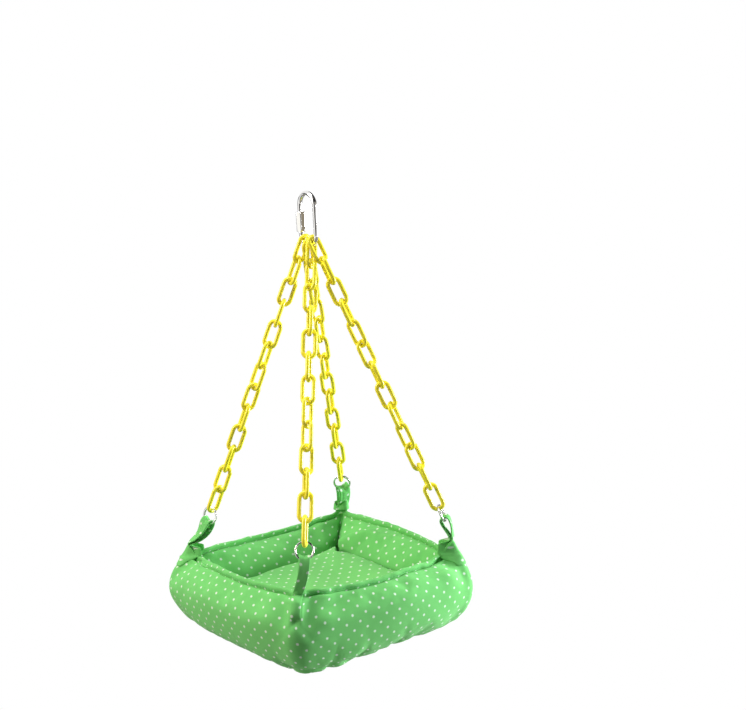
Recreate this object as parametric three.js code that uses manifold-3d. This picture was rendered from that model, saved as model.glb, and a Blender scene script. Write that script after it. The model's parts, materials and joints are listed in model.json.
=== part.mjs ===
import * as THREE from 'three'
import Module from 'manifold-3d'
import { mergeVertices } from 'three/addons/utils/BufferGeometryUtils.js'

const wasm = await Module()
wasm.setup()

// driving sizes in millimetres
const clearance = 0.3
const quickLength = 52
const quickWire = 4.5
const quickBend = 11.7
const nutLength = 18
const nutFlats = 8.2
const nutTravel = 7.5
const gateOpening = 4.6
const linkLength = 29
const linkWidth = 14.8
const linkWire = 3.8
const linkCount = 13
const ringOuter = 17.6
const ringBand = 1.7
const ringCoil = 0.85
const ringPitch = 1.3
const ringToRim = 38.5
const bedHeight = 75
const rimHalf = 85.5
const ringInset = 7.5
const baseTuck = 5.5
const wallBulge = 22
const wallBow = 7
const wallInset = 11.5
const bellyLean = 4
const leanTurn = 151
const innerTuck = 8
const innerBow = 1.5
const innerRound = 6
const rimSag = 4
const rimBow = 9
const rimRound = 9
const riseFade = 7
const riseEdge = 0.4
const bellyRound = 8
const baseRound = 9
const flangeHeight = 3.6
const flangeThick = 3.2
const floorThick = 8
const cushionEase = 1
const cushionHeight = 38
const cushionRound = 8
const cushionPoint = 14
const cushionWaist = 2.5
const cushionCore = 0.42
const cushionFull = 0.4
const strapWidth = 11
const strapPly = 1.7
const strapTail = 27
const plyRoot = 6
const loopRadius = 3.5
const loopSlack = 1.1

// shared directions and small helpers
const UP = new THREE.Vector3(0, 0, 1)
const vec = (x, y, z) => new THREE.Vector3(x, y, z)
const along = (p, d, s) => p.clone().addScaledVector(d, s)
const turned = (v, axis, angle) => v.clone().applyAxisAngle(axis, angle)
const rad = THREE.MathUtils.degToRad
const steps = (n) => [...Array(n).keys()]

const yellow = new THREE.MeshStandardMaterial({ color: 0xf0e132, roughness: 0.4 })
const steel = new THREE.MeshStandardMaterial({ color: 0xb8b8bc, metalness: 1, roughness: 0.2 })
const cloth = new THREE.MeshStandardMaterial({ color: 0x3fae49, roughness: 0.9 })
const padCloth = new THREE.MeshStandardMaterial({ color: 0x45b650, roughness: 0.9 })

// a closed surface through loops of points, with its ends joined or capped
function skin(loops, closed) {
  const n = loops[0].length
  const points = loops.flat()
  const faces = []
  const spans = closed ? loops.length : loops.length - 1
  for (let i = 0; i < spans; i += 1) {
    const next = (i + 1) % loops.length
    for (let j = 0; j < n; j += 1) {
      const k = (j + 1) % n
      faces.push(i * n + j, i * n + k, next * n + k)
      faces.push(i * n + j, next * n + k, next * n + j)
    }
  }
  if (!closed) {
    for (const [row, flip] of [[0, true], [loops.length - 1, false]]) {
      const middle = vec(0, 0, 0)
      loops[row].forEach((p) => middle.addScaledVector(p, 1 / n))
      const hub = points.push(middle) - 1
      for (let j = 0; j < n; j += 1) {
        const a = row * n + j
        const b = row * n + ((j + 1) % n)
        faces.push(...(flip ? [hub, b, a] : [hub, a, b]))
      }
    }
  }
  return surface(points, faces)
}

// a geometry from points and faces, turned outward
function surface(points, faces) {
  let volume = 0
  for (let i = 0; i < faces.length; i += 3) {
    const [a, b, c] = [points[faces[i]], points[faces[i + 1]], points[faces[i + 2]]]
    volume += a.dot(b.clone().cross(c))
  }
  const order = volume < 0 ? faces.reverse() : faces
  const geometry = new THREE.BufferGeometry()
  geometry.setAttribute('position', new THREE.Float32BufferAttribute(points.flatMap((p) => p.toArray()), 3))
  geometry.setIndex(order)
  geometry.computeVertexNormals()
  return geometry
}

// a round section standing across a path, u and v its two directions
function roundLoop(centre, u, v, radius, sides) {
  return steps(sides).map((i) => {
    const t = (2 * Math.PI * i) / sides
    return along(along(centre, u, radius * Math.cos(t)), v, radius * Math.sin(t))
  })
}

function solid(geometry) {
  geometry.deleteAttribute('normal')
  const merged = mergeVertices(geometry)
  return new wasm.Manifold(new wasm.Mesh({
    numProp: 3,
    vertProperties: Float32Array.from(merged.getAttribute('position').array),
    triVerts: Uint32Array.from(merged.getIndex().array),
  }))
}

function fromSolid(body) {
  const mesh = body.getMesh()
  const geometry = new THREE.BufferGeometry()
  geometry.setAttribute('position', new THREE.Float32BufferAttribute(mesh.vertProperties, 3))
  geometry.setIndex(Array.from(mesh.triVerts))
  geometry.computeVertexNormals()
  return geometry
}

const group = new THREE.Group()
function add(name, geometry, material, parent = group) {
  const mesh = new THREE.Mesh(geometry, material)
  mesh.name = name
  parent.add(mesh)
  return mesh
}

// the quick link: origin under its top bend, legs along Z, nut on the +Y leg
const quickRadius = quickWire / 2
const topCentre = -(quickBend - quickRadius)
const bottomCentre = quickWire - quickLength + quickRadius + quickBend
const nutBottom = bottomCentre + 1.5 * clearance
const nutTop = nutBottom + nutLength
const stubTip = nutBottom + nutTravel - gateOpening
const gateTop = nutBottom + nutTravel + 2 * clearance
const bendSteps = 10

function quickPath() {
  const path = [[quickBend, stubTip]]
  for (const i of steps(bendSteps + 1)) {
    const t = (Math.PI * i) / bendSteps
    path.push([quickBend * Math.cos(t), bottomCentre - quickBend * Math.sin(t)])
  }
  for (const i of steps(bendSteps + 1)) {
    const t = Math.PI * (1 - i / bendSteps)
    path.push([quickBend * Math.cos(t), topCentre + quickBend * Math.sin(t)])
  }
  path.push([quickBend, gateTop])
  return path.map(([y, z]) => vec(0, y, z))
}

function pathLoops(path, across, radius, sides) {
  return path.map((p, i) => {
    const before = path[Math.max(i - 1, 0)]
    const after = path[Math.min(i + 1, path.length - 1)]
    const tangent = after.clone().sub(before).normalize()
    return roundLoop(p, across, tangent.cross(across).normalize(), radius, sides)
  })
}

add('quick_link_body', skin(pathLoops(quickPath(), vec(1, 0, 0), quickRadius, 12), false), steel)

// the hexagonal sleeve nut: chamfered prism with a plain bore
function nutGeometry() {
  const bore = quickRadius + clearance
  const corner = nutFlats / Math.sqrt(3)
  const chamfer = corner - nutFlats / 2
  const flat = corner - chamfer
  const rows = [[bore, nutBottom], [flat, nutBottom], [corner, nutBottom + chamfer]]
  rows.push([corner, nutTop - chamfer], [flat, nutTop], [bore, nutTop])
  const loops = rows.map(([r, z]) => steps(12).map((i) => {
    const t = (Math.PI * i) / 6
    const reach = r === corner && i % 2 === 1 ? r * Math.cos(Math.PI / 6) : r
    return vec(reach * Math.cos(t), quickBend + reach * Math.sin(t), z)
  }))
  return skin(loops, true)
}

add('quick_link_nut', nutGeometry(), steel)

// one chain link: a torus drawn out into two straight legs along Z
const linkRadius = linkWire / 2
const linkBend = (linkWidth - linkWire) / 2
const crownReach = (linkLength - linkWire) / 2
const legHalf = crownReach - linkBend
const linkSteps = 14

function linkGeometry() {
  const torus = new THREE.TorusGeometry(linkBend, linkRadius, 6, linkSteps)
  torus.rotateZ(Math.PI / linkSteps)
  const place = torus.getAttribute('position')
  for (const i of steps(place.count)) {
    place.setY(i, place.getY(i) + Math.sign(place.getY(i)) * legHalf)
  }
  return torus.rotateX(Math.PI / 2)
}

// the four corners: hook is the top link's place on the bend, lean its roll there,
// twist turns the ring about its chain, halfTurns winds the links between the two,
// and rise draws the rim up to the strap
const corners = [
  { name: 'front', sx: -1, sy: -1, hook: -16.1, lean: 18.5, twist: 0, halfTurns: -1, rise: 1 },
  { name: 'right', sx: 1, sy: -1, hook: -62.2, lean: -13.5, twist: 0, halfTurns: -1, rise: 9 },
  { name: 'back', sx: 1, sy: 1, hook: 16.1, lean: 18.5, twist: 0, halfTurns: 0, rise: 8 },
  { name: 'left', sx: -1, sy: 1, hook: 62.2, lean: -13.5, twist: 55, halfTurns: -1, rise: 10 },
]
const ringHalf = rimHalf - ringInset
const ringMean = (ringOuter - ringBand) / 2
const hang = quickRadius + linkRadius + 1.5 * clearance
const ringHang = ringBand / 2 + linkRadius + 2 * clearance

// where a chain starts and runs when the rings stand at a given height
function layChain(corner, height) {
  const angle = rad(corner.hook)
  const wire = vec(0, quickBend * Math.sin(angle), bottomCentre - quickBend * Math.cos(angle))
  const tangent = vec(0, Math.cos(angle), Math.sin(angle))
  const ring = vec(corner.sx * ringHalf, corner.sy * ringHalf, height)
  let start = wire
  let run = vec(0, 0, -1)
  for (let i = 0; i < 30; i += 1) {
    run = ring.clone().sub(start).normalize()
    const pull = along(run, tangent, -run.dot(tangent)).normalize()
    start = along(wire, pull, -hang)
  }
  const length = ring.distanceTo(start) - ringMean
  const pitch = (length + ringHang - 2 * crownReach) / (linkCount - 1)
  const across = run.clone().cross(tangent).normalize()
  return { start, run, ring, length, pitch, across }
}

// the ring height that leaves the tightest chain its clearance
let low = bottomCentre - 2 * linkCount * linkLength
let high = bottomCentre
for (let i = 0; i < 60; i += 1) {
  const middle = (low + high) / 2
  const tightest = Math.max(...corners.map((corner) => layChain(corner, middle).pitch))
  if (tightest > linkLength - 2 * linkWire - clearance) low = middle
  else high = middle
}
const ringZ = (low + high) / 2

// each chain hangs in a group whose -Z runs down it and whose X lies across the top link
const link = linkGeometry()
for (const corner of corners) {
  const chain = layChain(corner, ringZ)
  const back = chain.run.clone().negate()
  const hanger = new THREE.Group()
  const basis = new THREE.Matrix4().makeBasis(chain.across, back.clone().cross(chain.across), back)
  hanger.setRotationFromMatrix(basis)
  hanger.position.copy(chain.start)
  group.add(hanger)
  const level = vec(-corner.sy, corner.sx, 0).applyMatrix4(basis.clone().transpose())
  const ringTurn = Math.atan2(level.y, level.x) + rad(corner.twist)
  const first = rad(corner.lean)
  const full = ringTurn + Math.PI / 2 - first
  const share = (full + Math.PI * (corner.halfTurns - Math.round(full / Math.PI))) / (linkCount - 1)
  for (const i of steps(linkCount)) {
    const number = String(i + 1).padStart(2, '0')
    const mesh = add(`chain_${corner.name}_link_${number}`, link, yellow, hanger)
    mesh.position.z = -(crownReach + i * chain.pitch)
    mesh.rotation.z = first + i * (Math.PI / 2 + share)
  }
  Object.assign(corner, { chain, hanger, ringTurn })
}

// the split rings: nearly two flat turns with one crossing
const crossing = rad(25)
const coilStart = crossing + rad(3)
const coilEnd = 4 * Math.PI - coilStart
const coilSteps = 46

function coilOffset(t) {
  const s = THREE.MathUtils.smoothstep(t, 2 * Math.PI - crossing, 2 * Math.PI + crossing)
  return ringPitch * (s - 0.5)
}

function ringGeometry() {
  const axis = vec(0, 1, 0)
  const loops = steps(coilSteps + 1).map((i) => {
    const t = coilStart + ((coilEnd - coilStart) * i) / coilSteps
    const out = vec(Math.cos(t), 0, Math.sin(t))
    const p = along(out.clone().multiplyScalar(ringMean), axis, coilOffset(t))
    return [[1, 1], [1, -1], [-1, -1], [-1, 1]].map(([u, v]) =>
      along(along(p, out, (u * ringBand) / 2), axis, (v * ringCoil) / 2))
  })
  return skin(loops, false)
}

const overlapped = coilEnd - 2 * Math.PI - coilStart
const coilGaps = steps(400).map((i) => coilStart + (i * overlapped) / 399)
  .map((t) => coilOffset(t + 2 * Math.PI) - coilOffset(t) - ringCoil)
console.log('least gap between ring coils, mm', Math.min(...coilGaps).toFixed(3))
const splitRing = ringGeometry()
for (const corner of corners) {
  const mesh = add(`ring_${corner.name}`, splitRing, steel, corner.hanger)
  mesh.position.z = -(corner.chain.length + ringMean)
  mesh.rotation.z = corner.ringTurn
}

// the bed: loops round a square with soft corners, from the underside to the floor
const rimZ = ringZ - ringToRim
const baseZ = rimZ - bedHeight
const floorZ = baseZ + floorThick
const perSide = 6
const perCorner = 4
const wallSteps = 7
const cushionSteps = 9

const rises = ['back', 'left', 'front', 'right']
  .map((name) => corners.find((corner) => corner.name === name).rise)

// a square loop whose sides dip by sag and bow outward, its corners drawn up by a share of their rise
function squareLoop(half, round, z, sag, bow, drawn = 0) {
  const loop = []
  for (const q of steps(4)) {
    const turn = (q * Math.PI) / 2
    const [before, ahead] = [rises[(q + 3) % 4], rises[q]]
    const put = (x, y, s, lift) => {
      const p = vec(x + bow * s, y, z - sag * s + drawn * lift)
      loop.push(p.applyAxisAngle(UP, turn))
    }
    for (const i of steps(perSide)) {
      const f = (2 * i) / perSide - 1
      put(half, (half - round) * f, Math.cos((Math.PI * f) / 2), i === 0 ? riseEdge * before : 0)
    }
    for (const i of steps(perCorner)) {
      const t = (Math.PI / 2) * (i / perCorner)
      const lift = ahead * (riseEdge + (1 - riseEdge) * Math.sin(2 * t))
      put(half - round + round * Math.cos(t), half - round + round * Math.sin(t), 0, lift)
    }
  }
  return loop
}

const cornerReach = (half, round) => half * Math.SQRT2 - round * (Math.SQRT2 - 1)
const swell = (t) => Math.sin(Math.PI * t)
const climb = (t) => (1 - Math.cos(Math.PI * t)) / 2
const outerRound = (t) => rimRound + bellyRound * swell(t) + baseRound * (1 - t)
const outerHalf = (t) => rimHalf - baseTuck * (1 - t) + wallBulge * swell(t)
const outerZ = (t) => baseZ + bedHeight * climb(t)
const innerHalf = (t) => rimHalf - flangeThick / 2 - innerTuck * (1 - t) - wallInset * swell(t)

// the filling sags sideways, most at the belly
const leanWay = turned(vec(1, 0, 0), UP, rad(leanTurn))
const sway = (p, t) => along(p, leanWay, bellyLean * swell(t))
const leaned = (loop, t) => loop.map((p) => sway(p, t))

function bedShell() {
  const loops = []
  for (const i of steps(wallSteps)) {
    const t = i / wallSteps
    const bow = wallBow * swell(t) + rimBow * t ** 3
    const loop = squareLoop(outerHalf(t), outerRound(t), outerZ(t), rimSag * t ** 3, bow, t ** riseFade)
    loops.push(leaned(loop, t))
  }
  const thick = flangeThick / 2
  loops.push(squareLoop(rimHalf + thick, rimRound, rimZ, rimSag, rimBow, 1))
  loops.push(squareLoop(rimHalf + thick, rimRound, rimZ + flangeHeight, rimSag, rimBow, 1))
  loops.push(squareLoop(rimHalf - thick, rimRound - thick, rimZ + flangeHeight, rimSag, rimBow, 1))
  for (const i of steps(wallSteps)) {
    const t = 1 - i / wallSteps
    const z = floorZ + (rimZ - floorZ) * climb(t)
    const bow = rimBow * t ** 3 - innerBow * swell(t)
    const loop = squareLoop(innerHalf(t), innerRound, z, rimSag * t ** 3, bow, t ** riseFade)
    loops.push(leaned(loop, t))
  }
  loops.push(squareLoop(innerHalf(0) - innerTuck / 2, innerRound, floorZ, 0, 0))
  return skin(loops, false)
}

// the strap's run in its own plane: up one ply, over the round head, down the other
function loopRun(total) {
  const radius = loopRadius + strapPly / 2
  const neck = (strapPly + 2 * clearance) / 2
  const ply = [[neck, total + plyRoot]]
  for (const i of steps(4)) {
    const f = 1 - i / 4
    ply.push([neck + (radius - neck) * (0.5 + 0.5 * Math.cos(Math.PI * f)), f * total])
  }
  const head = steps(9).map((i) => {
    const t = (Math.PI * i) / 8
    return [radius * Math.cos(t), -radius * Math.sin(t)]
  })
  return [...ply, ...head, ...ply.map(([q, p]) => [-q, p]).reverse()]
}

// a corner strap: a ribbon saddled on its ring, and a tail sewn down the outside
function strapSolids(corner) {
  const { ring, run } = corner.chain
  const outward = vec(corner.sx, corner.sy, 0).normalize()
  const side = UP.clone().cross(outward)
  const head = along(ring, run, ringMean + loopRadius - ringBand / 2 - loopSlack)
  const foot = along(vec(0, 0, rimZ + corner.rise), outward, cornerReach(rimHalf, rimRound))
  const total = foot.distanceTo(head)
  const spine = new THREE.QuadraticBezierCurve3(head, along(head, run, total / 2), foot)
  const half = strapWidth / 2
  const rise = ringMean - Math.sqrt(ringMean ** 2 - half ** 2)
  const place = ([q, p], s) => {
    const u = THREE.MathUtils.clamp(p / total, 0, 1)
    const down = spine.getTangent(u)
    const across = side.clone().cross(down).normalize()
    const lift = ((rise * Math.abs(s)) / half) * (1 - u) ** 2
    const offset = along(across.multiplyScalar(q), side, s)
    const turn = -rad(corner.twist) * (1 - u)
    return along(spine.getPoint(u), down, p - u * total - lift).add(turned(offset, down, turn))
  }
  const path = loopRun(total)
  const ribbon = path.map(([q, p], i) => {
    const [before, after] = [path[Math.max(i - 1, 0)], path[Math.min(i + 1, path.length - 1)]]
    const [dq, dp] = [after[0] - before[0], after[1] - before[1]]
    const out = strapPly / 2 / Math.hypot(dq, dp)
    const outer = [q - dp * out, p + dq * out]
    const inner = [q + dp * out, p - dq * out]
    return [...[-half, 0, half].map((w) => place(outer, w)), ...[half, 0, -half].map((w) => place(inner, w))]
  })
  const flat = ([r, z, t], s) => sway(along(along(vec(0, 0, z), outward, r), side, s), t)
  const tail = [-half, half].map((w) => tailOutline(corner.rise).map((point) => flat(point, w)))
  return [skin(ribbon, false), skin(tail, false)].map(solid)
}

// the strap tail's side outline: the corner's own profile, thickened both ways
function tailOutline(rise) {
  const rows = steps(wallSteps).map((i) => 1 - i / wallSteps)
    .map((t) => ({ t, r: cornerReach(outerHalf(t), outerRound(t)), z: outerZ(t) + rise * t ** riseFade }))
    .filter((p) => p.z > rimZ - strapTail)
  const outside = rows.map((p) => [p.r + strapPly, p.z + strapPly / 2, p.t])
  const inside = rows.map((p) => [p.r - 2 * strapPly, p.z - strapPly, p.t]).reverse()
  return [...outside, ...inside]
}

let bed = solid(bedShell())
for (const corner of corners) {
  for (const piece of strapSolids(corner)) bed = bed.add(piece)
}
add('bed_cover', fromSolid(bed), cloth)

// the loose floor cushion: crowned, with drawn-in sides and pointed corners
function cushionGeometry() {
  const cushionHalf = innerHalf(0.5) - innerBow - cushionEase
  const flatHalf = cushionCore * cushionHalf
  const bottom = floorZ + clearance
  const loops = []
  for (const i of steps(cushionSteps)) {
    const t = (i + 0.5) / cushionSteps
    const fill = swell(t) ** cushionFull
    const half = flatHalf + (cushionHalf - flatHalf) * fill
    const z = bottom + cushionHeight * climb(t)
    const round = cushionRound + cushionPoint * (1 - fill)
    const loop = squareLoop(half, round, i === 0 ? bottom : z, 0, -cushionWaist * fill)
    loops.push(leaned(loop, 0.5))
  }
  return skin(loops, false)
}

add('floor_cushion', cushionGeometry(), padCloth)

export default group
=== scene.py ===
import bpy
import bmesh
import json
import math
import numpy as np
from mathutils import Matrix, Vector, noise
from mathutils.bvhtree import BVHTree


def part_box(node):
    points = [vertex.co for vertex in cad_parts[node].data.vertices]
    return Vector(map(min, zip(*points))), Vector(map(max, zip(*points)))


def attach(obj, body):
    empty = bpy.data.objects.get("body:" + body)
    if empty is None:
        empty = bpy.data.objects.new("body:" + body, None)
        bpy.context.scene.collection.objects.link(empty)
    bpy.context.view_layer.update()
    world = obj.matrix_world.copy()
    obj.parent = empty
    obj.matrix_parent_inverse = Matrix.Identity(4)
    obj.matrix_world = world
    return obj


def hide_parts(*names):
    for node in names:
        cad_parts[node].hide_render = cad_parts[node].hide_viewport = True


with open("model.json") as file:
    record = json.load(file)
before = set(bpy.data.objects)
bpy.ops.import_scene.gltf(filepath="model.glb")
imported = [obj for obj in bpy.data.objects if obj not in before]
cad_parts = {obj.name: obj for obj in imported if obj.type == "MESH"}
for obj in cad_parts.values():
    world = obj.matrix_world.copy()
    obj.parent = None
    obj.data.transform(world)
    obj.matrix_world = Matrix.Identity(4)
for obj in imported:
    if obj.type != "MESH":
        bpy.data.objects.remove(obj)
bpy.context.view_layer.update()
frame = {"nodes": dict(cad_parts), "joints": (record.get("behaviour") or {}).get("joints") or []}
bpy.ops.object.select_all(action="DESELECT")
scene = bpy.context.scene
scene.view_settings.view_transform = "Standard"

# sizes in metres, the same as the solids
MM = 0.001
QUICK_WIRE = 4.5 * MM
QUICK_BEND = 11.7 * MM
NUT_FLATS = 8.2 * MM
CHAIN_LINKS = 13
LINK_LENGTH = 29 * MM
LINK_WIDTH = 14.8 * MM
LINK_WIRE = 3.8 * MM
RING_MEAN = 7.95 * MM
RING_BAND = 1.7 * MM
RING_COIL = 0.85 * MM
RING_PITCH = 1.3 * MM
RING_TURNS = 1.85
RING_TO_RIM = 38.5 * MM
RIM_HALF = 85.5 * MM
RIM_ROUND = 9 * MM
RIM_SAG = 4 * MM
RIM_BOW = 9 * MM
BED_HEIGHT = 75 * MM
FLOOR_THICK = 8 * MM
STRAP_PLY = 1.5 * MM
DOT_CELL = 13.8 * MM
CORNERS = {"front": (-1, -1), "right": (1, -1), "back": (1, 1), "left": (-1, 1)}
joints = {j["name"]: j for j in frame["joints"]}
rings = {c: Vector(joints[f"ring_{c}_spin"]["pos_m"]) for c in CORNERS}
RIM_Z = rings["front"].z - RING_TO_RIM
BASE_Z = RIM_Z - BED_HEIGHT
FLOOR_Z = BASE_Z + FLOOR_THICK


# node helpers: an input whose value is another node's output is linked to it
def feed(tree, socket, value):
    if isinstance(value, bpy.types.NodeSocket):
        tree.links.new(value, socket)
    else:
        socket.default_value = value


def tune(tree, node, **values):
    for key, value in values.items():
        if hasattr(node, key):
            setattr(node, key, value)
        else:
            feed(tree, node.inputs[key.replace("_", " ")], value)
    return node


def put(tree, kind, **values):
    return tune(tree, tree.nodes.new(kind), **values)


def maths(tree, operation, *values, kind="ShaderNodeMath", output="Value"):
    node = put(tree, kind, operation=operation)
    for socket, value in zip(node.inputs, values):
        feed(tree, socket, value)
    return node.outputs[output]


def vectors(tree, operation, *values):
    output = "Value" if operation == "LENGTH" else "Vector"
    return maths(tree, operation, *values, kind="ShaderNodeVectorMath", output=output)


def object_place(tree):
    return tree.nodes.new("ShaderNodeTexCoord").outputs["Object"]


# a value eased from one range to another
def map_range(tree, value, from_min, from_max, to_min, to_max):
    limits = dict(From_Min=from_min, From_Max=from_max, To_Min=to_min, To_Max=to_max)
    node = put(tree, "ShaderNodeMapRange", interpolation_type="SMOOTHSTEP", Value=value, **limits)
    return node.outputs["Result"]


def effect(name, inputs, outputs):
    group = bpy.data.node_groups.new(name, "ShaderNodeTree")
    for label, kind, value in inputs:
        socket = group.interface.new_socket(name=label, in_out="INPUT", socket_type=kind)
        if value is not None:
            socket.default_value = value
    for label, kind in outputs:
        group.interface.new_socket(name=label, in_out="OUTPUT", socket_type=kind)
    return group, group.nodes.new("NodeGroupInput"), group.nodes.new("NodeGroupOutput")


def use(tree, group, **values):
    return put(tree, "ShaderNodeGroup", node_tree=group, **values)


# a print of small dots, one in each corner and one in the middle of a cell
def dot_print():
    g, gi, go = effect(
        "dot print",
        [
            ("Vector", "NodeSocketVector", None),
            ("Radius", "NodeSocketFloat", 0.1),
            ("Soft", "NodeSocketFloat", 0.03),
        ],
        [("Mask", "NodeSocketFloat")],
    )
    place, radius, soft = (gi.outputs[x] for x in ("Vector", "Radius", "Soft"))
    wobble = put(g, "ShaderNodeTexNoise", Scale=9.0, Detail=1.0, Vector=place)
    centred = vectors(g, "SUBTRACT", wobble.outputs["Color"], (0.5, 0.5, 0.5))
    shaken = vectors(g, "ADD", place, vectors(g, "MULTIPLY", centred, (0.05, 0.05, 0.05)))
    near = []
    for shift in (0.0, 0.5):
        moved = vectors(g, "ADD", shaken, (shift, shift, 0))
        away = vectors(g, "SUBTRACT", vectors(g, "FRACTION", moved), (0.5, 0.5, 0))
        near.append(vectors(g, "LENGTH", vectors(g, "MULTIPLY", away, (1, 1, 0))))
    inner, outer = (maths(g, x, radius, soft) for x in ("SUBTRACT", "ADD"))
    tune(g, go, Mask=map_range(g, maths(g, "MINIMUM", *near), inner, outer, 1, 0))
    return g


# plain weave with uneven yarns, as a height and as a shade; the shade is the slubs' uneven tone plus painted
# light, lighter on the weave's raised crossings and darker in its dips
def plain_weave():
    g, gi, go = effect(
        "plain weave",
        [("Vector", "NodeSocketVector", None), ("Yarns", "NodeSocketFloat", 24.0)],
        [("Height", "NodeSocketFloat"), ("Shade", "NodeSocketFloat")],
    )
    place = gi.outputs["Vector"]
    split = put(g, "ShaderNodeSeparateXYZ", Vector=place)
    waves = []
    for axis in ("X", "Y"):
        turns = maths(g, "MULTIPLY", split.outputs[axis], gi.outputs["Yarns"])
        waves.append(maths(g, "SINE", maths(g, "MULTIPLY", turns, 2 * math.pi)))
    over = maths(g, "MULTIPLY", *waves)
    slubs = []
    for stretch in ((3, 60, 1), (60, 3, 1)):
        long = put(g, "ShaderNodeMapping", Scale=stretch, Vector=place)
        yarn = put(g, "ShaderNodeTexNoise", Scale=1.0, Detail=2.0, Vector=long.outputs[0])
        slubs.append(yarn.outputs["Fac"])
    slub = maths(g, "ADD", *slubs)
    height = maths(g, "MULTIPLY_ADD", over, 0.25, maths(g, "MULTIPLY", slub, 0.5))
    # painted light: the shade follows the weave's height, so its raised crossings are coloured lighter and
    # its dips darker; the slubs add their own uneven tone
    shade = maths(g, "MULTIPLY_ADD", slub, 0.5, maths(g, "MULTIPLY", over, 0.06))
    tune(g, go, Height=height, Shade=shade)
    return g


# slow colour drift over a surface, from 0 to 1
def drift_group():
    g, gi, go = effect("slow drift", [("Scale", "NodeSocketFloat", 20.0)], [("Value", "NodeSocketFloat")])
    values = {"Scale": gi.outputs["Scale"], "Vector": object_place(g)}
    cloud = put(g, "ShaderNodeTexNoise", Detail=3.0, **values)
    tune(g, go, Value=cloud.outputs["Fac"])
    return g


DOTS = dot_print()
WEAVE = plain_weave()
DRIFT = drift_group()


def blank(name):
    material = bpy.data.materials.new(name)
    material.use_nodes = True
    tree = material.node_tree
    return material, tree, tree.nodes["Principled BSDF"]


def ramp(tree, value, low, high):
    node = put(tree, "ShaderNodeMix", data_type="RGBA", Factor=value)
    for socket, colour in zip(node.inputs[6:8], (low, high)):
        feed(tree, socket, (*colour, 1) if isinstance(colour, tuple) else colour)
    return node.outputs[2]


# one shader or the other, by a value from 0 to 1
def blend(tree, value, first, second):
    node = tree.nodes.new("ShaderNodeMixShader")
    for socket, source in zip(node.inputs, (value, first.outputs[0], second.outputs[0])):
        feed(tree, socket, source)
    return node


def dotted_cotton(name, dark, light, dot):
    material, tree, shader = blank(name)
    uv = put(tree, "ShaderNodeUVMap", uv_map="cloth").outputs[0]
    weave = use(tree, WEAVE, Yarns=22.0, Vector=uv)
    slow = maths(tree, "MULTIPLY", use(tree, DRIFT, Scale=22.0).outputs[0], 0.5)
    # the tone holds the weave's painted light on its raised crossings, with the slow drift of the cloth's
    # colour
    tone = maths(tree, "MULTIPLY_ADD", weave.outputs["Shade"], 0.5, slow)
    print_ = use(tree, DOTS, Radius=0.082, Soft=0.042, Vector=uv)
    colour = ramp(tree, print_.outputs["Mask"], ramp(tree, tone, dark, light), dot)
    bump = put(tree, "ShaderNodeBump", Strength=0.35, Distance=0.0004, Height=weave.outputs["Height"])
    tune(tree, shader, Base_Color=colour, Normal=bump.outputs[0])
    tune(tree, shader, Roughness=0.88, Sheen_Weight=0.12, Specular_IOR_Level=0.2)
    return material


# a plain material whose colour drifts between two, with the drift to shade it by
def drifting(name, scale, low, high):
    material, tree, shader = blank(name)
    drift = use(tree, DRIFT, Scale=scale).outputs[0]
    tune(tree, shader, Base_Color=ramp(tree, drift, low, high))
    return material, tree, shader, drift


def chain_plastic():
    colours = (0.90, 0.78, 0.027), (0.96, 0.86, 0.047)
    material, tree, shader, drift = drifting("yellow moulded plastic", 60.0, *colours)
    tune(tree, shader, Roughness=maths(tree, "MULTIPLY_ADD", drift, 0.12, 0.2), IOR=1.49)
    return material


def polished_steel():
    colours = (0.80, 0.79, 0.77), (0.88, 0.87, 0.86)
    material, tree, shader, _ = drifting("polished steel", 180.0, *colours)
    brushed = put(tree, "ShaderNodeMapping", Scale=(1600, 1600, 90), Vector=object_place(tree))
    lines = put(tree, "ShaderNodeTexNoise", Scale=1.0, Detail=3.0, Vector=brushed.outputs[0]).outputs["Fac"]
    bump = put(tree, "ShaderNodeBump", Strength=0.02, Distance=0.00005, Height=lines)
    rough = maths(tree, "MULTIPLY_ADD", lines, 0.06, 0.05)
    tune(tree, shader, Roughness=rough, Normal=bump.outputs[0], Metallic=1)
    return material


def sewing_thread():
    material, tree, shader, _ = drifting("sewing thread", 700.0, (0.05, 0.34, 0.07), (0.10, 0.50, 0.13))
    tune(tree, shader, Roughness=0.7)
    return material


COVER = dotted_cotton("dotted cover cotton", (0.13, 0.50, 0.125), (0.18, 0.63, 0.165), (0.70, 0.82, 0.69))
CUSHION = dotted_cotton("dotted cushion cotton", (0.15, 0.54, 0.14), (0.21, 0.68, 0.19), (0.72, 0.84, 0.71))
PLASTIC = chain_plastic()
STEEL = polished_steel()
THREAD = sewing_thread()


# modelling helpers
def pick(piece):
    bpy.ops.object.select_all(action="DESELECT")
    piece.select_set(True)
    bpy.context.view_layer.objects.active = piece


def open_edit(kind="VERT"):
    bpy.ops.object.mode_set(mode="EDIT")
    bpy.ops.mesh.select_mode(type=kind)


def close_edit():
    bpy.ops.object.mode_set(mode="OBJECT")


def choose(piece, rule):
    mesh = bmesh.from_edit_mesh(piece.data)
    bpy.ops.mesh.select_all(action="DESELECT")
    for v in mesh.verts:
        v.select = rule(v.co)
    mesh.select_flush_mode()
    bmesh.update_edit_mesh(piece.data)


# the edges that run along the piece's height, or those that lie level
def choose_edges(piece, upright):
    mesh = bmesh.from_edit_mesh(piece.data)
    bpy.ops.mesh.select_all(action="DESELECT")
    for e in mesh.edges:
        e.select = (abs(e.verts[0].co.z - e.verts[1].co.z) > 1e-6) == upright
    bmesh.update_edit_mesh(piece.data)


def select_all():
    bpy.ops.mesh.select_all(action="SELECT")


def draw_out(*move):
    bpy.ops.mesh.extrude_region_move(TRANSFORM_OT_translate={"value": move})


def face_outward(piece):
    pick(piece)
    open_edit()
    select_all()
    bpy.ops.mesh.normals_make_consistent(inside=False)
    close_edit()


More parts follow.
